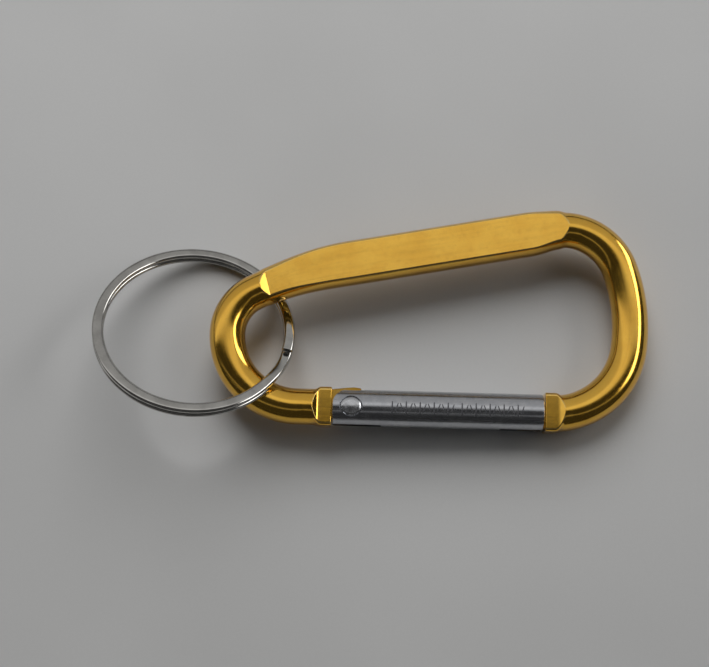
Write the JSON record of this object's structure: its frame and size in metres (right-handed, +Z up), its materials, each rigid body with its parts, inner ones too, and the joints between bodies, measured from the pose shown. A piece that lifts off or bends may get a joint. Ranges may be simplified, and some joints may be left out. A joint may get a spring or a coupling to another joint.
{
  "type": "carabiner keyring",
  "caption": "Snap-gate keyring carabiner: bent gold-anodised aluminium loop with a pressed flat spine, a sprung round gate on a rivet, and a steel split ring on the small bend.",
  "frame": {"origin": "middle of the bounding box, on the surface the keyring lies on", "axes": "+X along the gate from the split ring to the wide end, +Y from the gate to the pressed spine, +Z up; the loop leans a few degrees because it lies on the ring at one end"},
  "size_m": [0.0752, 0.0314, 0.0119],
  "materials": {
    "gold_anodised": "polished, gold anodised",
    "clear_aluminium": "drawn bar, clear anodised, fine lengthwise lines",
    "rivet_metal": "ground flush",
    "spring_steel": "bright spring wire",
    "plunger_steel": "turned",
    "nickel_plate": "bright nickel plate"
  },
  "bodies": {
    "loop": {"frame_body": "gold_anodised"},
    "gate": {"gate": "clear_aluminium", "hinge_rivet": "rivet_metal", "gate_spring": "spring_steel"},
    "plunger": {"spring_plunger": "plunger_steel"},
    "ring": {"split_ring": "nickel_plate"}
  },
  "joints": [
    {"name": "gate_hinge", "type": "hinge", "parent": "loop", "child": "gate", "pos_m": [-0.00268, -0.0128, 0.00348], "axis": [0.0348, -0.0767, 0.9964], "range_deg": [0, 43], "stiffness_Nm_per_rad": 0.0075, "springref_deg": -85.94},
    {"name": "plunger_slide", "type": "slide", "parent": "gate", "child": "plunger", "axis": [0.9994, 0, -0.0349], "range_m": [0, 0.00076], "deforming": ["gate_spring"]},
    {"name": "ring_flip", "type": "hinge", "parent": "loop", "child": "ring", "pos_m": [-0.02364, -0.00093, 0.00513], "axis": [-0.958, 0.2815, 0.0551], "range_deg": [0, 123]}
  ],
  "couplings": [
    {"joint": "plunger_slide", "follows": "gate_hinge", "m_per_rad": 0.001}
  ]
}
